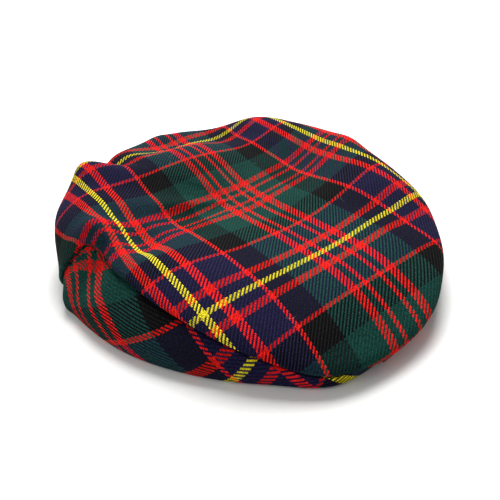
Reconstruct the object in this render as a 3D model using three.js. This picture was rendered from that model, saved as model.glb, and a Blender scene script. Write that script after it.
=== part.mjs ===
// A soft tartan flat cap lying on a table: a slouched, hollow crown of cloth sewn down over a stiff peak.
// Millimetres, +Z up, the table at Z = 0, the front of the cap towards -Y and the wearer's left towards +X.

import * as THREE from 'three';

// Driving dimensions
const CLOTH_THICKNESS = 1.8;
const PEAK_THICKNESS = 3.6;
const SEAM_GAP = 0.7;
const CENTRE_HEIGHT = 22.5;
const CENTRE_SLOPE = { front: -0.02, left: -0.14 };
const FOOT_RADIUS = 4;
const HEM_TURN = 30;
const PEAK_TUCK_STATION = 2.7;
const CROWN_CENTRE = { x: -14.2, y: 4.8 };

// Azimuths in degrees from the front towards the wearer's left
const PEAK_SPAN = { right: -66, left: 78 };
const PEAK_MIRROR = -5;
const PEAK_DRAW_IN = { start: -14, end: -22, amount: 5 };

// Stations along a section, from the crown's centre to the turned-in hem
const MID = 1;
const RIM = 3;
const FOOT = 4;
const HEM = 5;

// Where the crown's cloth ends: at its rim along the seam with the peak's left half, just under its wall
// where it hangs over the peak's right half, and at the hem elsewhere
const WALL_END = 4.1;
const EDGE_COLUMNS = ['azimuth', 'station'];
const CROWN_EDGE = table(EDGE_COLUMNS, [
  [-180, HEM],
  [-78, HEM],
  [-70, WALL_END],
  [-13, WALL_END],
  [-6, RIM],
  [74, RIM],
  [78, FOOT],
  [82, HEM],
  [180, HEM],
]);

// Sections of the cap on lines from the crown's centre. Reach is the level distance from the centre, and
// height is above the table: half way out, at the crest, at the rim, and at the foot on the table.
const SECTION_COLUMNS = [
  'azimuth', 'midHeight', 'crestReach', 'crestHeight', 'rimReach', 'rimHeight', 'footReach',
];
const SECTIONS = table(SECTION_COLUMNS, [
  [2, 24.5, 94, 37.5, 99, 30.5, 126.5],
  [10, 25.5, 95, 33.5, 102, 29.5, 126.5],
  [20, 26.5, 95, 32.5, 105, 27.5, 128],
  [38, 26.5, 97, 30.5, 117, 23.5, 132],
  [56, 26, 110, 25, 135, 16, 139.5],
  [68, 25, 118, 22, 146.5, 12, 148],
  [80, 24, 120, 22, 146, 12, 144],
  [92, 23.5, 118, 22, 142, 13, 138],
  [105, 23.5, 112, 23, 133, 14.5, 130],
  [120, 24.5, 102, 25, 123, 17, 123],
  [134, 26, 100, 31, 115.5, 20.5, 119],
  [150, 26, 95.5, 34, 108, 23, 116],
  [180, 25.5, 97, 35, 104, 25, 116],
  [205, 28.5, 102, 37, 111, 27, 117],
  [225, 31.5, 111, 37.5, 119, 28, 118],
  [245, 36, 107, 34.5, 117, 26, 115],
  [262, 40, 106, 37.5, 115, 27, 113],
  [278, 42.5, 106, 38.5, 115, 28, 112],
  [295, 41.5, 103, 42, 112, 29, 110],
  [304, 40, 104, 44, 113, 31, 111],
  [311, 38.5, 110.5, 47.5, 116, 33, 113],
  [325, 33.5, 106, 41.5, 118.5, 31, 116],
  [338, 31.5, 101, 41, 117, 29.5, 120],
  [346, 27, 98, 42, 113, 29.5, 122],
  [352, 25, 96.5, 44.5, 108, 31.5, 125],
  [357, 24.5, 95.5, 41.5, 101, 34, 128],
]);

// Soft dents pressed into the crown: where they lie, how far they spread, and how far they move the cloth up
const FOLD_COLUMNS = ['azimuth', 'reach', 'azimuthSpread', 'reachSpread', 'rise'];
const FOLDS = table(FOLD_COLUMNS, [
  [0, 78, 16, 14, -12],
  [76, 142, 22, 14, -5],
  [174, 92, 8, 14, 2],
  [238, 84, 18, 17, -6],
  [271, 106, 6, 12, 2],
  [272, 84, 22, 14, -8.5],
  [304, 95, 6, 18, -7],
]);

// Facets
const CROWN_STEP_DEGREES = 4;
const EDGE_STEP_DEGREES = 2;
const TOP_RINGS = 12;
const WALL_RINGS = 12;
const WALL_START = 2.65;
const PEAK_STEP_DEGREES = 4;
const PEAK_STRIPS = 8;

function table(columns, rows) {
  return rows.map((row) => Object.fromEntries(columns.map((name, index) => [name, row[index]])));
}

function wrapDegrees(angle) {
  return THREE.MathUtils.euclideanModulo(angle + 180, 360) - 180;
}

function ramp(value, from, to) {
  return THREE.MathUtils.clamp((value - from) / (to - from), 0, 1);
}

// A cubic between two values whose slopes are given, at a fraction of the span between them
function hermite(start, end, startSlope, endSlope, span, fraction) {
  const f2 = fraction * fraction;
  const f3 = f2 * fraction;
  return (2 * f3 - 3 * f2 + 1) * start + (f3 - 2 * f2 + fraction) * span * startSlope
    + (3 * f2 - 2 * f3) * end + (f3 - f2) * span * endSlope;
}

// One column of the sections at any azimuth, running smoothly round the circle
function sectionValue(azimuth, column) {
  const angle = THREE.MathUtils.euclideanModulo(azimuth, 360);
  const count = SECTIONS.length;
  const row = (index) => SECTIONS[THREE.MathUtils.euclideanModulo(index, count)];
  const turn = (index) => row(index).azimuth + 360 * Math.floor(index / count);
  const change = (index) => row(index + 1)[column] - row(index - 1)[column];
  const slope = (index) => change(index) / (turn(index + 1) - turn(index - 1));
  let index = count - 1;
  while (turn(index) > angle) {
    index -= 1;
  }
  const span = turn(index + 1) - turn(index);
  const fraction = (angle - turn(index)) / span;
  return hermite(row(index)[column], row(index + 1)[column], slope(index), slope(index + 1), span, fraction);
}

// The five named points of a section, as level reach and height, and the slopes of a smooth line there
const sectionCache = new Map();
function section(azimuth) {
  if (!sectionCache.has(azimuth)) {
    const value = (column) => sectionValue(azimuth, column);
    const points = [
      new THREE.Vector2(0, CENTRE_HEIGHT),
      new THREE.Vector2(value('crestReach') / 2, value('midHeight')),
      new THREE.Vector2(value('crestReach'), value('crestHeight')),
      new THREE.Vector2(value('rimReach'), value('rimHeight')),
      new THREE.Vector2(value('footReach'), FOOT_RADIUS),
    ];
    const spans = points.slice(1).map((point, index) => point.distanceTo(points[index]));
    const chord = (index) => points[index + 1].clone().sub(points[index]).divideScalar(spans[index]);
    const angle = THREE.MathUtils.degToRad(azimuth);
    const rise = CENTRE_SLOPE.front * Math.cos(angle) + CENTRE_SLOPE.left * Math.sin(angle);
    const slopes = [new THREE.Vector2(1, rise).normalize()];
    for (let index = MID; index < FOOT; index += 1) {
      const weight = spans[index - 1] / (spans[index - 1] + spans[index]);
      slopes.push(chord(index - 1).lerp(chord(index), weight));
    }
    slopes.push(new THREE.Vector2(0, -1));
    sectionCache.set(azimuth, { points, spans, slopes });
  }
  return sectionCache.get(azimuth);
}

// How far the folds move the cloth, fading out down the wall
function foldRise(azimuth, reach, station) {
  const fade = 1 - ramp(station, RIM, FOOT);
  return FOLDS.reduce((sum, fold) => {
    const across = wrapDegrees(azimuth - fold.azimuth) / fold.azimuthSpread;
    const along = (reach - fold.reach) / fold.reachSpread;
    return sum + fade * fold.rise * Math.exp(-across * across - along * along);
  }, 0);
}

// Level reach and height of the cap's outside at a station of a section. Past the foot the cloth rolls under
// and runs back in along the table to the hem.
function profile(azimuth, station) {
  const { points, spans, slopes } = section(azimuth);
  if (station > FOOT) {
    const rollLength = FOOT_RADIUS * Math.PI / 2;
    const run = (station - FOOT) * (rollLength + HEM_TURN - FOOT_RADIUS);
    const turn = Math.min(run, rollLength) / FOOT_RADIUS;
    const inward = FOOT_RADIUS * (1 - Math.cos(turn)) + Math.max(run - rollLength, 0);
    return new THREE.Vector2(points[FOOT].x - inward, FOOT_RADIUS * (1 - Math.sin(turn)));
  }
  const index = Math.min(Math.floor(station), FOOT - 1);
  const blend = (axis) => hermite(points[index][axis], points[index + 1][axis], slopes[index][axis],
    slopes[index + 1][axis], spans[index], station - index);
  const reach = blend('x');
  return new THREE.Vector2(reach, blend('y') + foldRise(azimuth, reach, station));
}

function place(azimuth, reach, height) {
  const angle = THREE.MathUtils.degToRad(azimuth);
  const x = CROWN_CENTRE.x + reach * Math.sin(angle);
  const y = CROWN_CENTRE.y - reach * Math.cos(angle);
  return new THREE.Vector3(x, y, height);
}

function surfacePoint(azimuth, station) {
  const { x: reach, y: height } = profile(azimuth, station);
  return place(azimuth, reach, height);
}

// Outward normal of the outside, from small steps along and across the section
function surfaceNormal(azimuth, station) {
  const step = 0.01;
  const along = surfacePoint(azimuth, station + step).sub(surfacePoint(azimuth, station - step));
  const across = surfacePoint(azimuth + step, station).sub(surfacePoint(azimuth - step, station));
  return along.cross(across).normalize();
}

// Outside of the cap moved in by a depth
function insetPoint(azimuth, station, depth) {
  return surfacePoint(azimuth, station).addScaledVector(surfaceNormal(azimuth, station), -depth);
}

// Station where the crown's cloth ends on a section
function crownEdge(azimuth) {
  const angle = wrapDegrees(azimuth);
  const next = CROWN_EDGE.findIndex((row, index) => index > 0 && angle <= row.azimuth);
  const [before, after] = [CROWN_EDGE[next - 1], CROWN_EDGE[next]];
  return THREE.MathUtils.lerp(before.station, after.station, ramp(angle, before.azimuth, after.azimuth));
}

function meshFrom(name, points, triangles, material) {
  const geometry = new THREE.BufferGeometry();
  const coordinates = points.flatMap((point) => point.toArray());
  geometry.setAttribute('position', new THREE.Float32BufferAttribute(coordinates, 3));
  geometry.setIndex(triangles);
  geometry.computeVertexNormals();
  const mesh = new THREE.Mesh(geometry, material);
  mesh.name = name;
  return mesh;
}

// Azimuths of the crown's columns, close together where its edge changes station
function crownAzimuths() {
  const azimuths = [];
  const ahead = CROWN_STEP_DEGREES;
  let azimuth = -180;
  while (azimuth < 180) {
    azimuths.push(azimuth);
    const isChanging = crownEdge(azimuth - ahead) !== crownEdge(azimuth + ahead);
    azimuth += isChanging ? EDGE_STEP_DEGREES : CROWN_STEP_DEGREES;
  }
  return azimuths;
}

// Station of a ring of the crown: the top's rings are the same all round, the wall's run to the cloth's edge
function ringStation(azimuth, ring) {
  if (ring <= TOP_RINGS) {
    return WALL_START * ring / TOP_RINGS;
  }
  return THREE.MathUtils.lerp(WALL_START, crownEdge(azimuth), (ring - TOP_RINGS) / WALL_RINGS);
}

// The crown: an outer and an inner skin round one centre point each, joined along the crown's edge
function makeCrown() {
  const azimuths = crownAzimuths();
  const columns = azimuths.length;
  const rings = TOP_RINGS + WALL_RINGS;
  const points = [place(0, 0, CENTRE_HEIGHT), place(0, 0, CENTRE_HEIGHT - CLOTH_THICKNESS)];
  const skin = (depth) => {
    const first = points.length;
    for (let ring = 1; ring <= rings; ring += 1) {
      azimuths.forEach((azimuth) => {
        points.push(insetPoint(azimuth, ringStation(azimuth, ring), depth));
      });
    }
    return (ring, column) => first + (ring - 1) * columns + column % columns;
  };
  const outer = skin(0);
  const inner = skin(CLOTH_THICKNESS);
  const triangles = [];
  for (let column = 0; column < columns; column += 1) {
    triangles.push(0, outer(1, column), outer(1, column + 1));
    triangles.push(1, inner(1, column + 1), inner(1, column));
    for (let ring = 1; ring < rings; ring += 1) {
      const [a, b] = [outer(ring, column), outer(ring, column + 1)];
      const [c, d] = [outer(ring + 1, column), outer(ring + 1, column + 1)];
      triangles.push(a, c, b, b, c, d);
      const [e, f] = [inner(ring, column), inner(ring, column + 1)];
      const [g, h] = [inner(ring + 1, column), inner(ring + 1, column + 1)];
      triangles.push(e, f, g, f, h, g);
    }
    const [k, l] = [outer(rings, column), outer(rings, column + 1)];
    const [m, n] = [inner(rings, column), inner(rings, column + 1)];
    triangles.push(k, m, l, l, m, n);
  }
  const cloth = new THREE.MeshStandardMaterial({ color: 0x1d2b30, roughness: 0.9, metalness: 0 });
  return meshFrom('crown', points, triangles, cloth);
}

// A point of the peak, a depth under its top. The left half and the corner where the seam turns down lie
// just under the crown's surface. The right half mirrors the left, drawn in to lie inside the slouched crown.
function peakPoint(azimuth, station, depth) {
  const inset = CLOTH_THICKNESS + SEAM_GAP + depth;
  const own = insetPoint(azimuth, station, inset);
  const mirrored = 2 * PEAK_MIRROR - azimuth;
  const source = insetPoint(mirrored, station, inset);
  const reach = Math.hypot(source.x - CROWN_CENTRE.x, source.y - CROWN_CENTRE.y);
  const share = ramp(azimuth, PEAK_DRAW_IN.start, PEAK_DRAW_IN.end);
  const room = sectionValue(azimuth, 'footReach') - PEAK_DRAW_IN.amount * share;
  const drawnReach = reach * Math.min(room / sectionValue(mirrored, 'footReach'), 1);
  return own.lerp(place(azimuth, drawnReach, source.z), share);
}

// The peak: a bent board of one thickness, from the edge tucked under the crown to the edge on the table
function makePeak() {
  const count = Math.round((PEAK_SPAN.left - PEAK_SPAN.right) / PEAK_STEP_DEGREES);
  const loop = 2 * (PEAK_STRIPS + 2);
  const points = [];
  for (let column = 0; column <= count; column += 1) {
    const azimuth = THREE.MathUtils.lerp(PEAK_SPAN.right, PEAK_SPAN.left, column / count);
    const side = (depth) => {
      const line = [];
      for (let strip = 0; strip <= PEAK_STRIPS; strip += 1) {
        const station = THREE.MathUtils.lerp(PEAK_TUCK_STATION, FOOT, strip / PEAK_STRIPS);
        line.push(peakPoint(azimuth, station, depth));
      }
      line.push(line[PEAK_STRIPS].clone().setZ(0));
      return line;
    };
    points.push(...side(0), ...side(PEAK_THICKNESS).reverse());
  }
  const triangles = [];
  for (let column = 0; column < count; column += 1) {
    for (let index = 0; index < loop; index += 1) {
      const [a, b] = [column * loop + index, column * loop + (index + 1) % loop];
      const [c, d] = [a + loop, b + loop];
      triangles.push(a, b, c, b, d, c);
    }
  }
  for (let index = 0; index < loop / 2 - 1; index += 1) {
    const [a, b, c, d] = [index, index + 1, loop - 1 - index, loop - 2 - index];
    triangles.push(a, c, b, b, c, d);
    const end = count * loop;
    triangles.push(end + a, end + b, end + c, end + b, end + d, end + c);
  }
  const cloth = new THREE.MeshStandardMaterial({ color: 0x16332c, roughness: 0.88, metalness: 0 });
  return meshFrom('peak', points, triangles, cloth);
}

const flatCap = new THREE.Group();
flatCap.add(makeCrown(), makePeak());

export default flatCap;
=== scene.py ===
"""A soft tartan flat cap lying on a pale table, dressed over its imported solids."""

import logging
import math
from dataclasses import dataclass
from enum import Enum, IntEnum

import bpy
import numpy as np
from mathutils import Matrix, Vector, noise


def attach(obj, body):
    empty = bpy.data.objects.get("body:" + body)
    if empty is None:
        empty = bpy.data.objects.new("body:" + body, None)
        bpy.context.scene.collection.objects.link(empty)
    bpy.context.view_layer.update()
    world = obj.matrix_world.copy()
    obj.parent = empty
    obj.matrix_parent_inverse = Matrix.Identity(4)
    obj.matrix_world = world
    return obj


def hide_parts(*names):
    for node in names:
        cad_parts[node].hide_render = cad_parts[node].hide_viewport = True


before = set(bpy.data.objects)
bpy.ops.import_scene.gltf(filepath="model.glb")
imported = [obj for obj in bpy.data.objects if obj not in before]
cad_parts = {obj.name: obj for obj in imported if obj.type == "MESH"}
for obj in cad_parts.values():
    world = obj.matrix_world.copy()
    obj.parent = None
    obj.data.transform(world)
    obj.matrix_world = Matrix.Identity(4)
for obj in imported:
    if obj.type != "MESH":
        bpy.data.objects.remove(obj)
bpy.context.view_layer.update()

LOG = logging.getLogger("flat_cap")
MM = 0.001

# Width of a thread and thickness of the cloth, in millimetres
THREAD = 0.62
CLOTH_THICKNESS = 1.8

MATH = "ShaderNodeMath"
MIX = "ShaderNodeMix"

# Sockets of a mix, which carry the same names for numbers and for colours
NUMBER_A = 2
NUMBER_B = 3
COLOUR_A = 6
COLOUR_B = 7
MIXED_COLOUR = 2

# Sockets of a random value, which carry the same names for vectors and for numbers
VECTOR_LOW = 0
VECTOR_HIGH = 1
NUMBER_LOW = 2
NUMBER_HIGH = 3
RANDOM_NUMBER = 1


class Station(IntEnum):
    """Named places along a section of the cap, from the crown's centre to the turned-in hem."""

    CENTRE = 0
    MID = 1
    CREST = 2
    RIM = 3
    FOOT = 4
    HEM = 5


class Wale(Enum):
    """Which way the twill's ridges lean across the cloth's two sets of threads."""

    FALLING = 1.0
    RISING = -1.0


class Dye(Enum):
    """The yarn's colours."""

    GREEN = "#0f3e36"
    BLACK = "#090808"
    BLUE = "#181536"
    SCARLET = "#e41813"
    YELLOW = "#e6d424"


@dataclass(frozen=True)
class Section:
    """The cap's outside on one line from the crown's centre: reaches and heights in millimetres.

    The twist is how far the cloth has turned round the centre at the cap's edge, in degrees.
    """

    azimuth: float
    mid_height: float
    crest_reach: float
    crest_height: float
    rim_reach: float
    rim_height: float
    foot_reach: float
    twist: float


@dataclass(frozen=True)
class Fold:
    """A soft dent in the crown: its place, its spread and how far it moves the cloth up."""

    azimuth: float
    reach: float
    azimuth_spread: float
    reach_spread: float
    rise: float


@dataclass(frozen=True)
class EdgePoint:
    """The station at which the crown's cloth ends on a section."""

    azimuth: float
    station: float


@dataclass(frozen=True)
class Stripe:
    """A stripe of the tartan, from the thread it starts at, counted from the pattern's middle."""

    start: int
    dye: Dye


@dataclass(frozen=True)
class Lamp:
    """A square soft light: its place and size in metres, and its power in watts."""

    name: str
    place: tuple[float, float, float]
    size: float
    power: float


SECTIONS: tuple[Section, ...] = tuple(
    Section(*row)
    for row in (
        (2, 24.5, 94, 37.5, 99, 30.5, 126.5, 0),
        (10, 25.5, 95, 33.5, 102, 29.5, 126.5, 0),
        (20, 26.5, 95, 32.5, 105, 27.5, 128, 4),
        (38, 26.5, 97, 30.5, 117, 23.5, 132, 3),
        (56, 26, 110, 25, 135, 16, 139.5, 2),
        (68, 25, 118, 22, 146.5, 12, 148, 4),
        (80, 24, 120, 22, 146, 12, 144, 5),
        (92, 23.5, 118, 22, 142, 13, 138, 4),
        (105, 23.5, 112, 23, 133, 14.5, 130, 2),
        (120, 24.5, 102, 25, 123, 17, 123, 3),
        (134, 26, 100, 31, 115.5, 20.5, 119, 2),
        (150, 26, 95.5, 34, 108, 23, 116, 1.5),
        (180, 25.5, 97, 35, 104, 25, 116, 2),
        (205, 28.5, 102, 37, 111, 27, 117, 2),
        (225, 31.5, 111, 37.5, 119, 28, 118, 2),
        (245, 36, 107, 34.5, 117, 26, 115, 4),
        (262, 40, 106, 37.5, 115, 27, 113, 0),
        (278, 42.5, 106, 38.5, 115, 28, 112, 0),
        (295, 41.5, 103, 42, 112, 29, 110, -3),
        (304, 40, 104, 44, 113, 31, 111, -5),
        (311, 38.5, 110.5, 47.5, 116, 33, 113, -5),
        (325, 33.5, 106, 41.5, 118.5, 31, 116, -2),
        (338, 31.5, 101, 41, 117, 29.5, 120, 0),
        (346, 27, 98, 42, 113, 29.5, 122, 0),
        (352, 25, 96.5, 44.5, 108, 31.5, 125, 0),
        (357, 24.5, 95.5, 41.5, 101, 34, 128, 0),
    )
)

FOLDS: tuple[Fold, ...] = tuple(
    Fold(*row)
    for row in (
        (0, 78, 16, 14, -12),
        (76, 142, 22, 14, -5),
        (174, 92, 8, 14, 2),
        (238, 84, 18, 17, -6),
        (271, 106, 6, 12, 2),
        (272, 84, 22, 14, -8.5),
        (304, 95, 6, 18, -7),
    )
)

# The cloth ends at its rim along the seam with the peak's left half, just under its wall where it hangs
# over the peak's right half, and at the hem elsewhere.
WALL_END = 4.1
CROWN_EDGE: tuple[EdgePoint, ...] = tuple(
    EdgePoint(*row)
    for row in (
        (-180, Station.HEM),
        (-78, Station.HEM),
        (-70, WALL_END),
        (-13, WALL_END),
        (-6, Station.RIM),
        (74, Station.RIM),
        (78, Station.FOOT),
        (82, Station.HEM),
        (180, Station.HEM),
    )
)

# Half of the tartan's repeat, which runs back from its far end
HALF_REPEAT = 132
SETT: tuple[Stripe, ...] = tuple(
    Stripe(*row)
    for row in (
        (0, Dye.GREEN),
        (6, Dye.SCARLET),
        (10, Dye.GREEN),
        (16, Dye.SCARLET),
        (24, Dye.GREEN),
        (52, Dye.BLACK),
        (78, Dye.SCARLET),
        (82, Dye.BLUE),
        (111, Dye.SCARLET),
        (119, Dye.BLUE),
        (129, Dye.YELLOW),
    )
)

LAMPS: tuple[Lamp, ...] = (
    Lamp("overhead", (-1.4, 1.3, 1.9), 1.8, 143.0),
    Lamp("front", (-0.4, -1.0, 0.7), 0.7, 3.0),
)


def hermite(
    start: np.ndarray,
    end: np.ndarray,
    start_slope: np.ndarray,
    end_slope: np.ndarray,
    span: np.ndarray,
    fraction: np.ndarray,
) -> np.ndarray:
    """Find a cubic between two values whose slopes are given.

    Args:
        start: Value at the span's start.
        end: Value at the span's end.
        start_slope: Slope at the span's start.
        end_slope: Slope at the span's end.
        span: Length between the two.
        fraction: Share of the span that is passed, from 0 to 1.

    Returns:
        The cubic's value at the fraction.
    """
    f2 = fraction * fraction
    f3 = f2 * fraction
    return (
        (2 * f3 - 3 * f2 + 1) * start
        + (f3 - 2 * f2 + fraction) * span * start_slope
        + (3 * f2 - 2 * f3) * end
        + (f3 - f2) * span * end_slope
    )


def pick(stack: np.ndarray, index: np.ndarray) -> np.ndarray:
    """Return the entries of a stack's first axis that an array of indices names."""
    return np.take_along_axis(stack, index[None], axis=0)[0]


@dataclass(frozen=True)
class CapForm:
    """The cap's outside as a smooth function of azimuth and station, in millimetres.

    Azimuths are degrees from the front towards the wearer's left.
    """

    centre_x: float = -14.2
    centre_y: float = 4.8
    centre_height: float = 22.5
    front_slope: float = -0.02
    left_slope: float = -0.14
    foot_radius: float = 4.0
    hem_turn: float = 30.0
    thread: float = THREAD
    twist_reach: float = 150.0
    normal_step: float = 0.01
    length_steps: int = 400

    def column(self, name: str, azimuth: np.ndarray) -> np.ndarray:
        """Interpolate one column of the sections smoothly round the circle.

        Args:
            name: The column's name in Section.
            azimuth: Degrees.

        Returns:
            The column's value at each azimuth.
        """
        turns = np.array([row.azimuth for row in SECTIONS], float)
        turns = np.concatenate([turns - 360, turns, turns + 360])
        values = np.tile(np.array([getattr(row, name) for row in SECTIONS], float), 3)
        slopes = np.zeros_like(values)
        slopes[1:-1] = (values[2:] - values[:-2]) / (turns[2:] - turns[:-2])
        angle = np.mod(azimuth, 360)
        low = np.searchsorted(turns, angle, side="right") - 1
        span = turns[low + 1] - turns[low]
        fraction = (angle - turns[low]) / span
        return hermite(values[low], values[low + 1], slopes[low], slopes[low + 1], span, fraction)

    def crown_edge(self, azimuth: np.ndarray) -> np.ndarray:
        """Find where the crown's cloth ends on each section.

        Args:
            azimuth: Degrees.

        Returns:
            The station of the cloth's edge at each azimuth.
        """
        angle = np.mod(azimuth + 180, 360) - 180
        azimuths = [row.azimuth for row in CROWN_EDGE]
        stations = [float(row.station) for row in CROWN_EDGE]
        return np.interp(angle, azimuths, stations)

    def fold_rise(self, azimuth: np.ndarray, reach: np.ndarray, station: np.ndarray) -> np.ndarray:
        """Find how far the folds move the cloth up, fading out down the wall.

        Args:
            azimuth: Degrees.
            reach: Level distance from the crown's centre.
            station: Place along the section.

        Returns:
            The rise at each point, below zero in a dent.
        """
        fade = 1 - np.clip(station - Station.RIM, 0, 1)
        total = np.zeros_like(reach)
        for fold in FOLDS:
            across = (np.mod(azimuth - fold.azimuth + 180, 360) - 180) / fold.azimuth_spread
            along = (reach - fold.reach) / fold.reach_spread
            total += fold.rise * np.exp(-across * across - along * along)
        return total * fade

    def profile(self, azimuth: np.ndarray, station: np.ndarray) -> tuple[np.ndarray, np.ndarray]:
        """Find the level reach and the height of the outside.

        Args:
            azimuth: Degrees.
            station: Place along the section, as named in Station, of a shape that fits the azimuths.

        Returns:
            Reach from the crown's centre and height above the table.
        """
        azimuth, station = np.broadcast_arrays(np.asarray(azimuth, float), np.asarray(station, float))
        crest = self.column("crest_reach", azimuth)
        rim = self.column("rim_reach", azimuth)
        foot = self.column("foot_reach", azimuth)
        zero = np.zeros_like(crest)
        reaches = np.stack([zero, crest / 2, crest, rim, foot])
        middles = [self.column(f"{name}_height", azimuth) for name in ("mid", "crest", "rim")]
        heights = np.stack([zero + self.centre_height, *middles, zero + self.foot_radius])
        spans = np.hypot(np.diff(reaches, axis=0), np.diff(heights, axis=0))
        angle = np.radians(azimuth)
        rise = self.front_slope * np.cos(angle) + self.left_slope * np.sin(angle)
        starts = (1 / np.hypot(1, rise), rise / np.hypot(1, rise))
        ends = (0.0, -1.0)
        index = np.clip(np.floor(station).astype(int), 0, Station.FOOT - 1)
        fraction = np.clip(station, 0, Station.FOOT) - index
        line = []
        for values, start, end in zip((reaches, heights), starts, ends):
            chords = np.diff(values, axis=0) / spans
            slopes = np.empty_like(values)
            slopes[Station.CENTRE] = start
            for place in range(Station.MID, Station.FOOT):
                weight = spans[place - 1] / (spans[place - 1] + spans[place])
                slopes[place] = chords[place - 1] * (1 - weight) + chords[place] * weight
            slopes[Station.FOOT] = end
            low, high = pick(values, index), pick(values, index + 1)
            leave, arrive = pick(slopes, index), pick(slopes, index + 1)
            line.append(hermite(low, high, leave, arrive, pick(spans, index), fraction))
        reach, height = line
        height = height + self.fold_rise(azimuth, reach, station)
        roll = self.foot_radius * math.pi / 2
        run = np.clip(station - Station.FOOT, 0, None) * (roll + self.hem_turn - self.foot_radius)
        turn = np.minimum(run, roll) / self.foot_radius
        is_under = station > Station.FOOT
        inward = self.foot_radius * (1 - np.cos(turn)) + np.maximum(run - roll, 0)
        reach = np.where(is_under, foot - inward, reach)
        height = np.where(is_under, self.foot_radius * (1 - np.sin(turn)), height)
        return reach, height

    def place(self, azimuth: np.ndarray, reach: np.ndarray, height: np.ndarray) -> np.ndarray:
        """Turn azimuth, reach and height into points.

        Args:
            azimuth: Degrees.
            reach: Level distance from the crown's centre.
            height: Height above the table.

        Returns:
            Points in the part's frame.
        """
        angle = np.radians(azimuth)
        x = self.centre_x + reach * np.sin(angle)
        y = self.centre_y - reach * np.cos(angle)
        return np.stack(np.broadcast_arrays(x, y, height), axis=-1)

    def surface(self, azimuth: np.ndarray, station: np.ndarray) -> np.ndarray:
        """Return points of the outside."""
        reach, height = self.profile(azimuth, station)
        return self.place(azimuth, reach, height)

    def normal(self, azimuth: np.ndarray, station: np.ndarray) -> np.ndarray:
        """Find the outside's normals from small steps along and across the section.

        Args:
            azimuth: Degrees.
            station: Place along the section.

        Returns:
            Unit vectors that point out of the cap.
        """
        step = self.normal_step
        along = self.surface(azimuth, station + step) - self.surface(azimuth, station - step)
        across = self.surface(azimuth + step, station) - self.surface(azimuth - step, station)
        cross = np.cross(along, across)
        return cross / np.linalg.norm(cross, axis=-1, keepdims=True)

    def inset(self, azimuth: np.ndarray, station: np.ndarray, depth: np.ndarray) -> np.ndarray:
        """Return points of the outside moved in by a depth."""
        azimuth, station, depth = np.broadcast_arrays(azimuth, station, depth)
        return self.surface(azimuth, station) - self.normal(azimuth, station) * depth[..., None]

    def cloth_length(self, azimuth: np.ndarray, station: np.ndarray) -> np.ndarray:
        """Measure the cloth along the section from the crown's centre.

        Args:
            azimuth: Degrees, one for each column.
            station: Stations, a row for each column.

        Returns:
            Length in millimetres, of the stations' shape.
        """
        steps = np.linspace(0, Station.HEM, self.length_steps + 1)
        reach, height = self.profile(azimuth[:, None], steps[None, :])
        lengths = np.hypot(np.diff(reach, axis=1), np.diff(height, axis=1))
        lengths = np.concatenate([np.zeros((len(azimuth), 1)), np.cumsum(lengths, axis=1)], axis=1)
        return np.stack([np.interp(row, steps, length) for row, length in zip(station, lengths)])

    def crown_threads(self, azimuth: np.ndarray, station: np.ndarray) -> np.ndarray:
        """Find the threads of the crown's cloth that cross at each point.

        Args:
            azimuth: Degrees, one for each column.
            station: Stations, a row for each column.

        Returns:
            Counts of threads from the pattern's centre, in the two directions of the weave.
        """
        length = self.cloth_length(azimuth, station)
        twist = self.column("twist", azimuth)[:, None] * (length / self.twist_reach) ** 2
        angle = np.radians(azimuth[:, None] + twist)
        return np.stack([-length * np.cos(angle), length * np.sin(angle)], axis=-1) / self.thread


def linear(code: str) -> tuple[float, float, float, float]:
    """Turn an sRGB hex code into a linear colour."""
    values = [int(code[place : place + 2], 16) / 255 for place in (1, 3, 5)]
    return (*[v / 12.92 if v <= 0.04045 else ((v + 0.055) / 1.055) ** 2.4 for v in values], 1.0)


def add_node(
    tree: bpy.types.NodeTree,
    kind: str,
    settings: dict[str, object] | None = None,
    links: dict[int | str, object] | None = None,
) -> bpy.types.Node:
    """Add a node with its settings and links.

    Args:
        tree: The node tree that gets the node.
        kind: The node's type name.
        settings: Attribute names with their values.
        links: Input names or numbers, each with a node or an output to link, or a value to set.

    Returns:
        The new node.
    """
    node = tree.nodes.new(kind)
    for name, value in (settings or {}).items():
        setattr(node, name, value)
    for name, value in (links or {}).items():
        if isinstance(value, bpy.types.Node):
            value = value.outputs[0]
        if isinstance(value, bpy.types.NodeSocket):
            tree.links.new(value, node.inputs[name])
        else:
            node.inputs[name].default_value = value
    return node


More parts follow.
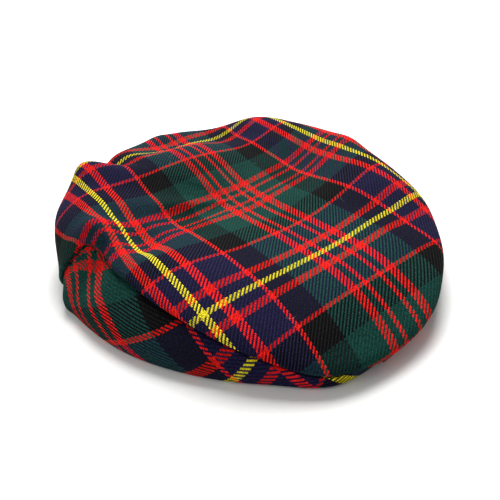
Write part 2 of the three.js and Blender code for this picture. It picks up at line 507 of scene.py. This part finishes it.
@dataclass(frozen=True)
class TartanTwill:
    """Worsted wool, woven in a two-and-two twill from dyed yarn.

    The eye sees slanting dashes where a stripe crosses, a mixed colour where two grounds cross, fine
    slanting ridges with painted shade in their gaps, one set of yarns painted lighter than the other,
    a painted highlight on the ridges' fibres, small woolly specks, and a soft dry sheen.
    """

    name: str
    wale: Wale
    thread: float = THREAD
    twill_repeat: float = 4.0
    float_threads: float = 2.0
    # Painted highlight: the pale colour and the strength of the glint painted on the ridges' tops of each set
    # of yarns
    fibre: str = "#a3a8b0"
    first_glint: float = 0.045
    second_glint: float = 0.002
    # Painted shade: how much the gaps between the yarns are darkened and the humps' tops lightened
    gap_shade: float = 0.45
    gap_depth: float = 0.6
    ridge_height: float = 0.28
    ridge_strength: float = 0.8
    yarn_variation: float = 0.22
    second_seed: float = 517.0
    wear_size: float = 18.0
    wear_detail: float = 3.0
    wear: float = 0.3
    # Painted light and shade: how much lighter the first set of yarns and darker the second are painted
    wale_painted_shade: float = 0.14
    speck_size: float = 1.0
    speck_detail: float = 2.0
    speck: float = 2.4

    def yarn(self, tree: bpy.types.NodeTree, count: bpy.types.Node, seed: float) -> bpy.types.NodeSocket:
        """Add the dye of one set of yarns, each yarn a little lighter or darker than the next.

        Args:
            tree: The material's node tree.
            count: The yarn's number from the pattern's middle.
            seed: Offset that makes the two sets of yarns vary differently.

        Returns:
            The yarn's colour.
        """
        middle = add_node(tree, MATH, {"operation": "ADD"}, {0: count, 1: 0.5})
        folded = add_node(tree, MATH, {"operation": "PINGPONG"}, {0: middle, 1: float(HALF_REPEAT)})
        share = add_node(tree, MATH, {"operation": "DIVIDE"}, {0: folded, 1: float(HALF_REPEAT)})
        ramp = add_node(tree, "ShaderNodeValToRGB", {}, {0: share})
        ramp.color_ramp.interpolation = "CONSTANT"
        stops = ramp.color_ramp.elements
        for index, stripe in enumerate(SETT):
            start = stripe.start / HALF_REPEAT
            stop = stops[index] if index < len(stops) else stops.new(start)
            stop.position = start
            stop.color = linear(stripe.dye.value)
        number = add_node(tree, MATH, {"operation": "ADD"}, {0: count, 1: seed})
        chance = add_node(tree, "ShaderNodeTexWhiteNoise", {"noise_dimensions": "1D"}, {"W": number})
        low = 1 - self.yarn_variation / 2
        links = {0: chance.outputs["Value"], 1: self.yarn_variation, 2: low}
        spread = add_node(tree, MATH, {"operation": "MULTIPLY_ADD"}, links)
        links = {0: 1.0, COLOUR_A: ramp, COLOUR_B: spread}
        settings = {"data_type": "RGBA", "blend_type": "MULTIPLY"}
        return add_node(tree, MIX, settings, links).outputs[MIXED_COLOUR]

    def arch(self, tree: bpy.types.NodeTree, place: bpy.types.Node, span: float) -> bpy.types.Node:
        """Add a hump that rises and falls once over a span of threads."""
        angle = add_node(tree, MATH, {"operation": "MULTIPLY"}, {0: place, 1: math.pi / span})
        return add_node(tree, MATH, {"operation": "SINE"}, {0: angle})

    def build(self) -> bpy.types.Material:
        """Make the cloth's material, which reads the piece's own map of threads.

        Returns:
            The new material.
        """
        material = bpy.data.materials.new(self.name)
        material.use_nodes = True
        tree = material.node_tree
        tree.nodes.clear()
        threads = add_node(tree, "ShaderNodeUVMap", {"uv_map": "threads"})
        first, second = add_node(tree, "ShaderNodeSeparateXYZ", {}, {0: threads}).outputs[:2]
        first_count = add_node(tree, MATH, {"operation": "FLOOR"}, {0: first})
        second_count = add_node(tree, MATH, {"operation": "FLOOR"}, {0: second})

        # Each yarn goes over two and under two, a thread further on in each row
        lean = self.wale.value
        step = add_node(tree, MATH, {"operation": "MULTIPLY_ADD"}, {0: second_count, 1: lean, 2: first_count})
        phase = add_node(tree, MATH, {"operation": "FLOORED_MODULO"}, {0: step, 1: self.twill_repeat})
        is_first = add_node(tree, MATH, {"operation": "LESS_THAN"}, {0: phase, 1: self.float_threads - 0.5})
        first_dye = self.yarn(tree, first_count, 0.0)
        second_dye = self.yarn(tree, second_count, self.second_seed)
        links = {0: is_first, COLOUR_A: second_dye, COLOUR_B: first_dye}
        dye = add_node(tree, MIX, {"data_type": "RGBA"}, links).outputs[MIXED_COLOUR]

        # Every float is a small hump, one thread across and two along
        first_side = add_node(tree, MATH, {"operation": "FRACT"}, {0: first})
        second_side = add_node(tree, MATH, {"operation": "FRACT"}, {0: second})
        first_run = add_node(tree, MATH, {"operation": "MULTIPLY_ADD"}, {0: second, 1: lean, 2: first_count})
        second_run = add_node(tree, MATH, {"operation": "MULTIPLY_ADD"}, {0: second_count, 1: lean, 2: first})
        links = {0: is_first, NUMBER_A: second_side, NUMBER_B: first_side}
        side = add_node(tree, MIX, {"data_type": "FLOAT"}, links)
        links = {0: is_first, NUMBER_A: second_run, NUMBER_B: first_run}
        run = add_node(tree, MIX, {"data_type": "FLOAT"}, links)
        run = add_node(tree, MATH, {"operation": "FLOORED_MODULO"}, {0: run, 1: self.float_threads})
        humps = {0: self.arch(tree, side, 1.0), 1: self.arch(tree, run, self.float_threads)}
        ridge = add_node(tree, MATH, {"operation": "MULTIPLY"}, humps)

        # Painted shade darkens the gaps between the yarns and lightens the humps' tops, and the cloth is a
        # little uneven
        low = 1 - self.gap_shade * self.gap_depth
        shade = add_node(tree, MATH, {"operation": "MULTIPLY_ADD"}, {0: ridge, 1: self.gap_shade, 2: low})
        links = {"Vector": threads, "Scale": self.thread / self.wear_size, "Detail": self.wear_detail}
        worn = add_node(tree, "ShaderNodeTexNoise", {}, links)
        links = {0: worn, 1: self.wear, 2: 1 - self.wear / 2}
        wear = add_node(tree, MATH, {"operation": "MULTIPLY_ADD"}, links)
        shade = add_node(tree, MATH, {"operation": "MULTIPLY"}, {0: shade, 1: wear})

        # Painted light and shade: the first set of yarns, which stands higher, is painted lighter and the
        # second, lower in the wales' shade, darker; fine fibres speckle the cloth
        links = {0: is_first, 1: 2 * self.wale_painted_shade, 2: 1 - self.wale_painted_shade}
        level = add_node(tree, MATH, {"operation": "MULTIPLY_ADD"}, links)
        shade = add_node(tree, MATH, {"operation": "MULTIPLY"}, {0: shade, 1: level})
        links = {"Vector": threads, "Scale": self.thread / self.speck_size, "Detail": self.speck_detail}
        fibres = add_node(tree, "ShaderNodeTexNoise", {}, links)
        links = {0: fibres, 1: self.speck, 2: 1 - self.speck / 2}
        specks = add_node(tree, MATH, {"operation": "MULTIPLY_ADD"}, links)
        shade = add_node(tree, MATH, {"operation": "MULTIPLY"}, {0: shade, 1: specks})
        links = {0: 1.0, COLOUR_A: dye, COLOUR_B: shade}
        settings = {"data_type": "RGBA", "blend_type": "MULTIPLY"}
        shaded = add_node(tree, MIX, settings, links).outputs[MIXED_COLOUR]

        # Painted highlight: the tops of the ridges are painted towards a pale fibre colour, as if they catch
        # the light, more on one set of yarns
        links = {0: is_first, 1: self.first_glint - self.second_glint, 2: self.second_glint}
        glint = add_node(tree, MATH, {"operation": "MULTIPLY_ADD"}, links)
        glint = add_node(tree, MATH, {"operation": "MULTIPLY"}, {0: glint, 1: ridge})
        glint = add_node(tree, MATH, {"operation": "MULTIPLY"}, {0: glint, 1: specks})
        links = {0: glint, COLOUR_A: shaded, COLOUR_B: linear(self.fibre)}
        colour = add_node(tree, MIX, {"data_type": "RGBA"}, links).outputs[MIXED_COLOUR]

        links = {"Strength": self.ridge_strength, "Distance": self.ridge_height * MM, "Height": ridge}
        bump = add_node(tree, "ShaderNodeBump", {}, links)
        links = {
            "Base Color": colour,
            "Roughness": 0.86,
            "IOR": 1.54,
            "Specular IOR Level": 0.03,
            "Sheen Weight": 0.01,
            "Sheen Roughness": 0.45,
            "Normal": bump,
        }
        shader = add_node(tree, "ShaderNodeBsdfPrincipled", {}, links)
        add_node(tree, "ShaderNodeOutputMaterial", {}, {0: shader})
        return material


@dataclass(frozen=True)
class LooseWool:
    """Undyed wool fibre that has worked loose: pale, dull hairs, some greyer than others."""

    name: str = "loose_wool_fibre"
    pale: str = "#b8b6ae"
    grey: str = "#6f7074"
    patch_size: float = 9.0
    patch_detail: float = 1.0

    def build(self) -> bpy.types.Material:
        """Make the fibres' material, which changes from hair to hair.

        Returns:
            The new material.
        """
        material = bpy.data.materials.new(self.name)
        material.use_nodes = True
        tree = material.node_tree
        tree.nodes.clear()
        place = add_node(tree, "ShaderNodeTexCoord").outputs["Object"]
        links = {"Vector": place, "Scale": 1 / (self.patch_size * MM), "Detail": self.patch_detail}
        patch = add_node(tree, "ShaderNodeTexNoise", {}, links)
        links = {0: patch, COLOUR_A: linear(self.grey), COLOUR_B: linear(self.pale)}
        colour = add_node(tree, MIX, {"data_type": "RGBA"}, links).outputs[MIXED_COLOUR]
        links = {"Base Color": colour, "Roughness": 0.8, "IOR": 1.54, "Specular IOR Level": 0.2}
        shader = add_node(tree, "ShaderNodeBsdfPrincipled", {}, links)
        add_node(tree, "ShaderNodeOutputMaterial", {}, {0: shader})
        return material


@dataclass(frozen=True)
class MatteLaminate:
    """Matte white laminate: an even, dull table top with a faint fine grain."""

    name: str = "matte_white_laminate"
    light: str = "#f6f6f4"
    dark: str = "#f1f1ef"
    grain_size: float = 3.0
    grain_detail: float = 2.0

    def build(self) -> bpy.types.Material:
        """Make the table's material.

        Returns:
            The new material.
        """
        material = bpy.data.materials.new(self.name)
        material.use_nodes = True
        tree = material.node_tree
        tree.nodes.clear()
        place = add_node(tree, "ShaderNodeTexCoord").outputs["Object"]
        links = {"Vector": place, "Scale": 1 / (self.grain_size * MM), "Detail": self.grain_detail}
        grain = add_node(tree, "ShaderNodeTexNoise", {}, links)
        links = {0: grain, COLOUR_A: linear(self.dark), COLOUR_B: linear(self.light)}
        colour = add_node(tree, MIX, {"data_type": "RGBA"}, links).outputs[MIXED_COLOUR]
        links = {"Base Color": colour, "Roughness": 0.7, "IOR": 1.5}
        shader = add_node(tree, "ShaderNodeBsdfPrincipled", {}, links)
        add_node(tree, "ShaderNodeOutputMaterial", {}, {0: shader})
        return material


def place_piece(name: str, mesh: bpy.types.Mesh) -> bpy.types.Object:
    """Make an object of a mesh and put it in the scene.

    Args:
        name: The object's name.
        mesh: The mesh it shows.

    Returns:
        The new object.
    """
    piece = bpy.data.objects.new(name, mesh)
    bpy.context.scene.collection.objects.link(piece)
    return piece


def make_piece(
    name: str,
    points: np.ndarray,
    faces: list[tuple[int, ...]],
    threads: np.ndarray,
    material: bpy.types.Material,
) -> bpy.types.Object:
    """Make a smooth piece with a map of its threads.

    Args:
        name: The piece's name.
        points: Corners in millimetres, in the part's frame.
        faces: Corner numbers of each face, turning left seen from outside.
        threads: Thread counts of each corner.
        material: The piece's finish.

    Returns:
        The piece, placed in the scene.
    """
    mesh = bpy.data.meshes.new(name)
    mesh.from_pydata((points * MM).tolist(), [], faces)
    layer = mesh.uv_layers.new(name="threads")
    corners = np.empty(len(mesh.loops), np.int32)
    mesh.loops.foreach_get("vertex_index", corners)
    layer.data.foreach_set("uv", threads[corners].astype(np.float32).ravel())
    mesh.polygons.foreach_set("use_smooth", np.ones(len(mesh.polygons), bool))
    mesh.materials.append(material)
    mesh.update()
    return place_piece(name, mesh)


@dataclass
class Crown:
    """The soft crown: one sheet of tartan that slouches over the peak and turns in along the table.

    Sizes are in millimetres, and those of the cut cloth in metres.
    """

    form: CapForm
    finish: TartanTwill
    thickness: float = CLOTH_THICKNESS
    edge_roll: float = 2.6
    edge_share: float = 0.96
    slack_height: float = 0.45
    slack_size: float = 26.0
    slack_fade: float = 14.0
    step_degrees: float = 1.5
    fine_step_degrees: float = 0.5
    look_ahead_degrees: float = 2.0
    top_rings: int = 64
    wall_rings: int = 44
    wall_start: float = 2.65
    cut_size: tuple[float, float] = (0.335, 0.325)
    cut_area: float = 0.074

    def azimuths(self) -> np.ndarray:
        """Space the columns, close together where the edge changes station.

        Returns:
            The columns' azimuths in degrees.
        """
        values = [-180.0]
        while values[-1] < 180:
            near = values[-1] + np.array([-self.look_ahead_degrees, self.look_ahead_degrees])
            is_changing = np.ptp(self.form.crown_edge(near)) > 0
            values.append(values[-1] + (self.fine_step_degrees if is_changing else self.step_degrees))
        return np.array(values[:-1])

    def stations(self, azimuth: np.ndarray) -> np.ndarray:
        """Space the rings, evenly over the top and then down to the cloth's edge.

        Args:
            azimuth: Degrees, one for each column.

        Returns:
            The rings' stations without the centre, a row for each column.
        """
        top = np.linspace(0, self.wall_start, self.top_rings + 1)[1:]
        share = np.linspace(0, 1, self.wall_rings + 1)[1:]
        edge = self.form.crown_edge(azimuth)[:, None]
        wall = self.wall_start + (edge - self.wall_start) * share[None, :]
        return np.concatenate([np.tile(top, (len(azimuth), 1)), wall], axis=1)

    def unevenness(self, points: np.ndarray) -> np.ndarray:
        """Return the small rise and fall of slack cloth at points of the outside, in millimetres."""
        values = [noise.noise(Vector(point)) for point in points.reshape(-1, 3) / self.slack_size]
        return self.slack_height * np.array(values).reshape(points.shape[:-1])

    def skins(self, azimuth: np.ndarray, station: np.ndarray) -> tuple[np.ndarray, np.ndarray]:
        """Find the outer and inner skins, which close on each other where the edge rolls in.

        Args:
            azimuth: Degrees, one for each column.
            station: Stations, a row for each column.

        Returns:
            Points of the outer skin and of the inner skin, a row for each column.
        """
        outside = self.form.surface(azimuth[:, None], station)
        normal = self.form.normal(azimuth[:, None], station)
        length = self.form.cloth_length(azimuth, station)
        from_edge = length[:, -1:] - length
        fade = np.clip(np.minimum(from_edge / self.slack_fade, Station.FOOT - station), 0, 1)
        slack = self.unevenness(outside) * fade
        outside = outside + normal * slack[..., None]
        near = 1 - np.clip(from_edge / self.edge_roll, 0, 1)
        rolled = self.thickness * self.edge_share * (1 - np.sqrt(1 - near * near))
        return outside - normal * rolled[..., None], outside - normal * self.thickness

    def build(self) -> bpy.types.Object:
        """Make the crown: an outer and an inner skin round one centre point each, joined along the edge.

        Returns:
            The crown's piece.
        """
        azimuth = self.azimuths()
        station = self.stations(azimuth)
        columns, rings = station.shape
        outer, inner = self.skins(azimuth, station)
        zero = np.zeros(1)
        centre = self.form.place(zero, zero, zero + self.form.centre_height)
        centre[..., 2] += self.unevenness(centre)
        poles = np.concatenate([centre, centre - np.array([0, 0, self.thickness])])
        points = np.concatenate([poles, outer.reshape(-1, 3), inner.reshape(-1, 3)])
        flat = self.form.crown_threads(azimuth, station).reshape(-1, 2)
        threads = np.concatenate([np.zeros((2, 2)), flat, flat])
        faces: list[tuple[int, ...]] = []
        first_outer, first_inner = 2, 2 + columns * rings
        last = rings - 1
        for column in range(columns):
            here, there = column * rings, (column + 1) % columns * rings
            a, b = first_outer + here, first_outer + there
            c, d = first_inner + here, first_inner + there
            faces.append((0, a, b))
            faces.append((1, d, c))
            for ring in range(last):
                faces.append((a + ring, a + ring + 1, b + ring + 1, b + ring))
                faces.append((c + ring, d + ring, d + ring + 1, c + ring + 1))
            faces.append((a + last, c + last, d + last, b + last))
        piece = make_piece("crown_cloth", points, faces, threads, self.finish.build())
        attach(piece, "root")
        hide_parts("crown")
        return piece

    def top_mesh(self) -> bpy.types.Mesh:
        """Make a bare mesh of the crown's top, for things that lie on it.

        Returns:
            The mesh, without a material.
        """
        azimuth = self.azimuths()
        outer = self.skins(azimuth, self.stations(azimuth))[0][:, : self.top_rings]
        columns, rings = outer.shape[:2]
        faces: list[tuple[int, ...]] = []
        for column in range(columns):
            a, b = column * rings, (column + 1) % columns * rings
            faces.extend((a + ring, a + ring + 1, b + ring + 1, b + ring) for ring in range(rings - 1))
        mesh = bpy.data.meshes.new("crown_top")
        mesh.from_pydata((outer.reshape(-1, 3) * MM).tolist(), [], faces)
        return mesh


@dataclass
class LooseFibres:
    """A few fine wool hairs that lie on the crown, scattered over it by Geometry Nodes.

    A hair's root, belly and tip are shares of its length.
    """

    crown: Crown
    finish: LooseWool
    density: float = 420.0
    length: float = 5.5
    shortest: float = 0.35
    thickness: float = 0.1
    sides: int = 3
    bends: int = 5
    root: tuple[float, float, float] = (-0.5, 0.0, 0.01)
    belly: tuple[float, float, float] = (0.1, 0.4, 0.06)
    tip: tuple[float, float, float] = (0.5, -0.1, 0.01)
    seed: int = 7

    def make_tree(self, material: bpy.types.Material) -> bpy.types.NodeTree:
        """Make the tree that scatters bent hairs over a surface.

        Args:
            material: The hairs' finish.

        Returns:
            The tree, with its sizes as named inputs.
        """
        tree = bpy.data.node_groups.new("scatter_hairs", "GeometryNodeTree")
        tree.interface.new_socket("Geometry", in_out="INPUT", socket_type="NodeSocketGeometry")
        for name in ("Density", "Length", "Thickness"):
            tree.interface.new_socket(name, in_out="INPUT", socket_type="NodeSocketFloat")
        tree.interface.new_socket("Seed", in_out="INPUT", socket_type="NodeSocketInt")
        tree.interface.new_socket("Geometry", in_out="OUTPUT", socket_type="NodeSocketGeometry")
        sizes = add_node(tree, "NodeGroupInput").outputs
        links = {"Mesh": sizes["Geometry"], "Density": sizes["Density"], "Seed": sizes["Seed"]}
        spots = add_node(tree, "GeometryNodeDistributePointsOnFaces", {}, links).outputs
        links = {"Resolution": self.bends, "Start": self.root, "Middle": self.belly, "End": self.tip}
        bend = add_node(tree, "GeometryNodeCurveQuadraticBezier", {}, links)
        links = {0: sizes["Thickness"], 1: sizes["Length"]}
        slimness = add_node(tree, MATH, {"operation": "DIVIDE"}, links)
        links = {"Resolution": self.sides, "Radius": slimness}
        outline = add_node(tree, "GeometryNodeCurvePrimitiveCircle", {"mode": "RADIUS"}, links)
        links = {"Curve": bend, "Profile Curve": outline, "Fill Caps": True}
        hair = add_node(tree, "GeometryNodeCurveToMesh", {}, links)
        links = {VECTOR_LOW: (0, 0, 0), VECTOR_HIGH: (0, 0, 2 * math.pi), "Seed": sizes["Seed"]}
        heading = add_node(tree, "FunctionNodeRandomValue", {"data_type": "FLOAT_VECTOR"}, links)
        links = {"Rotation": spots["Rotation"], "Rotate By": heading}
        turn = add_node(tree, "FunctionNodeRotateRotation", {"rotation_space": "LOCAL"}, links)
        links = {NUMBER_LOW: self.shortest, NUMBER_HIGH: 1.0, "Seed": sizes["Seed"]}
        share = add_node(tree, "FunctionNodeRandomValue", {"data_type": "FLOAT"}, links)
        share = share.outputs[RANDOM_NUMBER]
        scale = add_node(tree, MATH, {"operation": "MULTIPLY"}, {0: share, 1: sizes["Length"]})
        links = {"Points": spots["Points"], "Instance": hair, "Rotation": turn, "Scale": scale}
        hairs = add_node(tree, "GeometryNodeInstanceOnPoints", {}, links)
        real = add_node(tree, "GeometryNodeRealizeInstances", {}, {"Geometry": hairs})
        dressed = add_node(tree, "GeometryNodeSetMaterial", {}, {"Geometry": real, "Material": material})
        add_node(tree, "NodeGroupOutput", {}, {"Geometry": dressed})
        return tree

    def build(self) -> bpy.types.Object:
        """Scatter the hairs over the crown's top and bake them to a plain mesh.

        Returns:
            The hairs' piece.
        """
        base = place_piece("crown_top", self.crown.top_mesh())
        tree = self.make_tree(self.finish.build())
        sizes = {
            "Density": self.density,
            "Length": self.length * MM,
            "Thickness": self.thickness / 2 * MM,
            "Seed": self.seed,
        }
        modifier = base.modifiers.new("scatter_hairs", "NODES")
        modifier.node_group = tree
        for socket in tree.interface.items_tree:
            if socket.in_out == "INPUT" and socket.name in sizes:
                modifier[socket.identifier] = sizes[socket.name]
        mesh = bpy.data.meshes.new_from_object(base.evaluated_get(bpy.context.evaluated_depsgraph_get()))
        base.modifiers.remove(modifier)
        bpy.data.objects.remove(base)
        mesh.name = "loose_fibres"
        piece = place_piece("loose_fibres", mesh)
        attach(piece, "root")
        return piece


@dataclass(frozen=True)
class BiasCut:
    """How the peak's cloth lies on it, cut on the bias: threads for each millimetre along and down.

    It is stretched round the corner under the crown's nose, and draws together towards the temple.
    """

    first_start: float = 22.9
    first_along: float = 0.73
    first_down: float = -0.93
    first_turn: float = -0.0146
    first_nose: float = 0.49
    second_start: float = 8.6
    second_along: float = 0.96
    second_down: float = 0.94
    second_turn: float = 0.0064
    second_nose: float = -0.38
    second_temple: float = 0.005
    nose: float = 5.0
    temple: float = 60.0

    def threads(self, along: np.ndarray, down: np.ndarray) -> np.ndarray:
        """Count the threads that cross at each point.

        Args:
            along: Millimetres along the seam.
            down: Millimetres down from the seam.

        Returns:
            Counts of threads in the two directions of the weave.
        """
        turn = down * np.abs(down)
        nose = np.minimum(along - self.nose, 0)
        temple = np.maximum(along - self.temple, 0) ** 2
        first = self.first_start + self.first_along * along + self.first_nose * nose
        first = first + self.first_down * down + self.first_turn * turn
        second = self.second_start + self.second_along * along + self.second_nose * nose
        second = second + self.second_down * down + self.second_turn * turn + self.second_temple * temple
        return np.stack([first, second], axis=-1)


@dataclass
class Peak:
    """The stiff peak: a bent board with tartan drawn over it on the bias."""

    form: CapForm
    finish: TartanTwill
    cut: BiasCut
    crown_thickness: float = CLOTH_THICKNESS
    seam_gap: float = 0.7
    groove_depth: float = 1.2
    groove_stations: float = 0.05
    thickness: float = 3.6
    tuck_station: float = 2.7
    right_end: float = -66.0
    left_end: float = 78.0
    mirror: float = -5.0
    draw_start: float = -14.0
    draw_end: float = -22.0
    draw_in: float = 5.0
    edge_lift: float = 0.15
    step_degrees: float = 1.0
    face_rows: int = 50
    edge_rows: int = 11

    def points(self, azimuth: np.ndarray, station: np.ndarray, depth: np.ndarray) -> np.ndarray:
        """Find points of the board a depth under its top.

        The left half and the corner under the nose lie just under the crown's surface. The right half
        mirrors the left, drawn in to lie inside the crown that slouches over it.

        Args:
            azimuth: Degrees, one for each column.
            station: Stations, shared by the columns.
            depth: Millimetres under the top, a row for each column.

        Returns:
            Points in the part's frame, a row for each column.
        """
        inset = self.crown_thickness + self.seam_gap + depth
        own = self.form.inset(azimuth[:, None], station[None, :], inset)
        mirrored = 2 * self.mirror - azimuth
        source = self.form.inset(mirrored[:, None], station[None, :], inset)
        reach = np.linalg.norm(source[..., :2] - np.array([self.form.centre_x, self.form.centre_y]), axis=-1)
        share = np.clip((azimuth - self.draw_start) / (self.draw_end - self.draw_start), 0, 1)
        room = self.form.column("foot_reach", azimuth) - self.draw_in * share
        room = np.minimum(room / self.form.column("foot_reach", mirrored), 1.0)
        drawn = self.form.place(azimuth[:, None], reach * room[:, None], source[..., 2])
        return own + (drawn - own) * share[:, None, None]

    def section_loops(self, azimuth: np.ndarray, station: np.ndarray) -> np.ndarray:
        """Find the board's outline on each section: down its top, round its lower edge, up its underside.

        Args:
            azimuth: Degrees, one for each column.
            station: Stations from the tucked edge to the foot.

        Returns:
            Points in the part's frame, a row for each column.
        """
        from_seam = (station[None, :] - self.form.crown_edge(azimuth)[:, None]) / self.groove_stations
        top = self.points(azimuth, station, self.groove_depth * np.exp(-from_seam * from_seam))
        under = self.points(azimuth, station[::-1], np.full(from_seam.shape, self.thickness))
        outer, inner = top[:, -1:], under[:, :1]
        middle, half = (outer + inner) / 2, (outer - inner) / 2
        radius = np.linalg.norm(half, axis=-1, keepdims=True)
        turn = np.linspace(0, math.pi, self.edge_rows + 1)[None, :, None]
        drop = radius * np.sin(turn) + self.form.foot_radius - radius - self.edge_lift
        edge = middle + half * np.cos(turn) - drop * np.array([0, 0, 1])
        return np.concatenate([top, edge, under], axis=1)

    def threads(self, azimuth: np.ndarray, loops: np.ndarray, seam_row: int) -> np.ndarray:
        """Find the threads that cross at each point, from its way along the seam and down from it.

        Args:
            azimuth: Degrees, one for each column.
            loops: Points of the board's outlines, a row for each column.
            seam_row: The point of an outline that lies under the seam.

        Returns:
            Counts of threads in the two directions of the weave.
        """
        along = np.linalg.norm(np.diff(loops[:, seam_row], axis=0), axis=1)
        along = np.concatenate([[0], np.cumsum(along)])
        along = along - np.interp(0, azimuth, along)
        down = np.cumsum(np.linalg.norm(np.diff(loops, axis=1), axis=2), axis=1)
        down = np.concatenate([np.zeros((len(azimuth), 1)), down], axis=1)
        return self.cut.threads(along[:, None], down - down[:, seam_row, None])

    def build(self) -> bpy.types.Object:
        """Make the peak as one closed board.

        Returns:
            The peak's piece.
        """
        count = int(round((self.left_end - self.right_end) / self.step_degrees))
        azimuth = np.linspace(self.right_end, self.left_end, count + 1)
        station = np.linspace(self.tuck_station, Station.FOOT, self.face_rows + 1)
        loops = self.section_loops(azimuth, station)
        threads = self.threads(azimuth, loops, int(np.argmin(np.abs(station - Station.RIM))))
        rows = loops.shape[1]
        faces: list[tuple[int, ...]] = []
        for column in range(count):
            a, b = column * rows, (column + 1) * rows
            for row in range(rows):
                after = (row + 1) % rows
                faces.append((a + row, a + after, b + after, b + row))
        end = count * rows
        for row in range(rows // 2 - 1):
            corners = (row, row + 1, rows - 2 - row, rows - 1 - row)
            faces.append(corners[::-1])
            faces.append(tuple(end + corner for corner in corners))
        points, counts = loops.reshape(-1, 3), threads.reshape(-1, 2)
        piece = make_piece("peak_board", points, faces, counts, self.finish.build())
        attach(piece, "root")
        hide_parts("peak")
        return piece


@dataclass
class Studio:
    """The pale table, the soft light and the camera.

    Sizes and places are in metres, and the camera's place and sensor in millimetres.
    """

    table: MatteLaminate
    table_size: float = 6.0
    table_drop: float = 0.0002
    world_strength: float = 0.35
    aim: tuple[float, float, float] = (0.0, 0.0, 0.02)
    camera_place: tuple[float, float, float] = (216.3, -154.5, 175.5)
    camera_right: tuple[float, float, float] = (0.622, 0.778, -0.089)
    camera_axis: tuple[float, float, float] = (-0.672, 0.472, -0.570)
    focal_pixels: float = 480.0
    image_pixels: float = 500.0
    sensor: float = 36.0
    nearest: float = 0.01

    def build_table(self) -> bpy.types.Object:
        """Make the pale table top.

        Returns:
            The table.
        """
        half = self.table_size / 2
        outline = ((-half, -half), (half, -half), (half, half), (-half, half))
        corners = [(x, y, -self.table_drop) for x, y in outline]
        mesh = bpy.data.meshes.new("table_top")
        mesh.from_pydata(corners, [], [(0, 1, 2, 3)])
        mesh.materials.append(self.table.build())
        table = place_piece("table_top", mesh)
        return table

    def build_light(self) -> None:
        """Make the plain soft light: a bright room and the softboxes."""
        world = bpy.data.worlds.new("studio")
        world.use_nodes = True
        background = world.node_tree.nodes["Background"]
        background.inputs["Color"].default_value = (1.0, 1.0, 1.0, 1.0)
        background.inputs["Strength"].default_value = self.world_strength
        bpy.context.scene.world = world
        bpy.context.scene.view_settings.view_transform = "Standard"
        for lamp in LAMPS:
            light = bpy.data.lights.new(lamp.name, "AREA")
            light.size = lamp.size
            light.energy = lamp.power
            place = Vector(lamp.place)
            turn = (Vector(self.aim) - place).to_track_quat("-Z", "Y").to_matrix().to_4x4()
            softbox = bpy.data.objects.new(lamp.name, light)
            softbox.matrix_world = Matrix.Translation(place) @ turn
            bpy.context.scene.collection.objects.link(softbox)

    def build_camera(self) -> None:
        """Make the camera at the photograph's viewing angle."""
        axis = Vector(self.camera_axis).normalized()
        right = Vector(self.camera_right)
        right = (right - axis * right.dot(axis)).normalized()
        up = right.cross(axis).normalized()
        data = bpy.data.cameras.new("camera")
        data.sensor_fit = "HORIZONTAL"
        data.sensor_width = self.sensor
        data.lens = self.sensor * self.focal_pixels / self.image_pixels
        data.clip_start = self.nearest
        camera = bpy.data.objects.new("camera", data)
        turn = Matrix((right, up, -axis)).transposed().to_4x4()
        camera.matrix_world = Matrix.Translation(Vector(self.camera_place) * MM) @ turn
        bpy.context.scene.collection.objects.link(camera)
        bpy.context.scene.camera = camera


def main() -> None:
    """Build the studio, the peak, the crown and its loose fibres in order."""
    logging.basicConfig(level=logging.INFO, format="%(name)s: %(message)s")
    studio = Studio(MatteLaminate())
    studio.build_camera()
    studio.build_table()
    studio.build_light()
    form = CapForm()
    peak = Peak(form, TartanTwill("worsted_tartan_on_the_bias", Wale.RISING), BiasCut())
    crown = Crown(form, TartanTwill("worsted_tartan_twill", Wale.FALLING))
    fibres = LooseFibres(crown, LooseWool())
    for piece in (peak.build(), crown.build(), fibres.build()):
        LOG.info("%s has %d faces", piece.name, len(piece.data.polygons))


if __name__ == "__main__":
    main()
